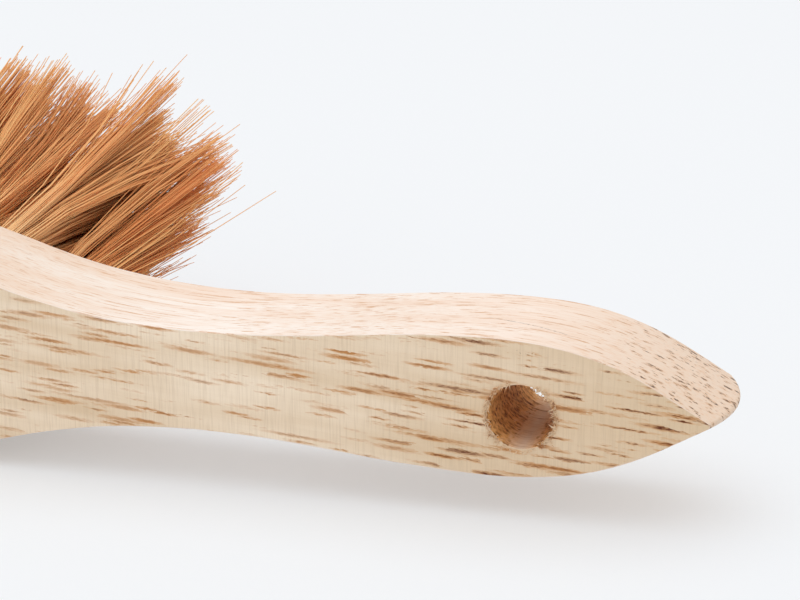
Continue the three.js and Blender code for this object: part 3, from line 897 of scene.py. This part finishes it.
# A row is two pieces: its tufts on the far half of the head, and those on the half near the handle
def rowSizes(row, number, half):
    count = tufts["outerCount"] + row["extra"]
    farCount = count // 2
    lock = bristles["lockSize"] * mm
    keyX, keyZ = bristles["lockKeys"]
    reach = bristles["lockReach"] * mm
    return {
        "Tufts": farCount if half == "Far" else count - farCount,
        "First Tuft": 0 if half == "Far" else farCount,
        "Tuft Step": (tufts["pitch"] * mm, 0.0, 0.0),
        "Row Start": rowStart(row["across"], count, faceY),
        "Fibres": bristles["fibresPerTuft"],
        "Knots": bristles["knots"],
        "Tuft Radius": bristles["tuftRadius"] * mm,
        "Lock Size": (lock, lock, lock),
        "Lock Key": (keyX / lock, 0.0, keyZ / lock),
        "Lock Pull": bristles["lockPull"],
        "Lock Reach": (reach, 0.0, reach),
        "Fibre Reach": bristles["fibreReach"] * mm,
        "Stray Reach": bristles["strayReach"] * mm,
        "Flare": bristles["flare"] - 1,
        "Field Centre": tufts["fieldCentre"] * mm,
        "Field Half": bristles["fieldHalf"] * mm,
        "Tips From": row["tips"][0],
        "Tips To": row["tips"][1],
        "Lowest": bristles["lowest"] * mm,
        "Spread Height": bristles["spreadHeight"] * mm,
        "Corner Droop": bristles["cornerDroop"] * mm,
        "Splay Low": row["splay"][0] * mm,
        "Splay High": row["splay"][1] * mm,
        "Length": bristles["length"] * mm,
        "Length Spread": bristles["lengthSpread"],
        "Lock Evenness": bristles["lockEvenness"],
        "Root Depth": bristles["rootDepth"] * mm,
        "Bend": bristles["bend"],
        "Bow": bristles["bow"] * mm,
        "Frizz": bristles["frizz"] * mm,
        "Floor": (-1.0, -1.0, bristles["floorGap"] * mm),  # holds the height alone
        "Fibre Radius": bristles["radius"] * mm,
        "Taper": bristles["taper"],
        "Seed": bristles["seed"] + bristles["seedStep"] * number,
        "Coir": coirFibre,
    }


coirTufts = coirTree(rowSizes(rows[0], 0, "Far"))
bristlePieces = []
for number, row in enumerate(rows):
    for half in ("Far", "Near"):
        name = "bristleRow" + row["name"] + half
        piece = growPiece(name, bpy.data.meshes.new(name), coirTufts, rowSizes(row, number, half))
        bristlePieces.append((piece, "bristle_row_" + row["name"].lower()))
print("bristles made, faces:", [len(piece.data.polygons) for piece, node in bristlePieces])


# Stage: a white sheet under a wide soft light, with a bright room all round. The sheet's white is part
# lit and part background, which keeps the shadow as light and warm as in the photograph.
stage = {
    "floor": "#EFF7FF", "floorSize": 8.0, "roughness": 0.9, "specular": 0.1,
    "background": "#F7F1EC", "backgroundShare": 0.42,
    "fade": (0.7, 2.5),  # metres from the brush, over which the sheet turns all background
    "room": "#FFFFFF", "roomStrength": 0.68,
    "keyPlace": (0.1, 0.0, 2.0), "keyAim": (0.1, 0.0, 0.0), "keySize": 3.2, "keyPower": 26.0,
}


# The rays that show the white background: straight to the camera, mirrored or through glass
def seenRays(tree):
    add = partial(addNode, tree)
    seen = 0.0
    for kind in ("Is Camera Ray", "Is Glossy Ray", "Is Transmission Ray"):
        ray = add("ShaderNodeLightPath", output=kind)
        seen = add("ShaderNodeMath", [seen, ray], operation="MAXIMUM")
    return seen


def makeFloor():
    material = newMaterial("floorSheet")
    tree = material.node_tree
    add = partial(addNode, tree)
    shader = add(
        "ShaderNodeBsdfPrincipled",
        {"Base Color": linear(stage["floor"]), "Roughness": stage["roughness"],
         "Specular IOR Level": stage["specular"]},
    )
    place = add("ShaderNodeTexCoord", output="Object")
    away = add("ShaderNodeVectorMath", [place], output="Value", operation="LENGTH")
    away = add("ShaderNodeMapRange", [away, *stage["fade"], 0.0, 1.0])
    colour = add(
        "ShaderNodeMix", {0: away, 6: linear(stage["background"]), 7: linear(stage["floor"])},
        output=2, data_type="RGBA",
    )
    white = add("ShaderNodeEmission", [colour, 1.0])
    share = add("ShaderNodeMapRange", [away, 0.0, 1.0, stage["backgroundShare"], 1.0])
    seen = add("ShaderNodeMath", [seenRays(tree), share], operation="MULTIPLY")
    shader = add("ShaderNodeMixShader", [seen, shader, white])
    add("ShaderNodeOutputMaterial", [shader])
    half = stage["floorSize"] / 2
    mesh = bpy.data.meshes.new("floor")
    corners = [(-half, -half, 0), (half, -half, 0), (half, half, 0), (-half, half, 0)]
    mesh.from_pydata(corners, [], [(0, 1, 2, 3)])
    mesh.materials.append(material)
    floor = bpy.data.objects.new("floor", mesh)
    scene.collection.objects.link(floor)
    return floor


def lightScene():
    lamp = bpy.data.lights.new("softKey", "AREA")
    lamp.shape = "SQUARE"
    lamp.size = stage["keySize"]
    lamp.energy = stage["keyPower"]
    key = bpy.data.objects.new("softKey", lamp)
    key.location = stage["keyPlace"]
    toObject = Vector(stage["keyAim"]) - Vector(stage["keyPlace"])
    key.rotation_euler = toObject.to_track_quat("-Z", "Y").to_euler()
    scene.collection.objects.link(key)
    world = bpy.data.worlds.new("room")
    scene.world = world
    world.use_nodes = True
    tree = world.node_tree
    tree.nodes.clear()
    add = partial(addNode, tree)
    room = add("ShaderNodeBackground", [linear(stage["room"]), stage["roomStrength"]])
    seen = add("ShaderNodeBackground", [linear(stage["floor"]), 1.0])
    shown = add("ShaderNodeMixShader", [seenRays(tree), room, seen])
    add("ShaderNodeOutputWorld", [shown])


floor = makeFloor()
lightScene()
print("stage lit")

# Every piece rides on the one body; the flat-wire anchors stay as they are in the frame
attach(woodenBoard, "root")
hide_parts("wooden_board")
for piece, node in bristlePieces:
    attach(piece, "root")
    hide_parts(node)
for name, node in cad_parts.items():
    if name.startswith("anchor_"):
        node.data.materials.clear()
        node.data.materials.append(steelWire)
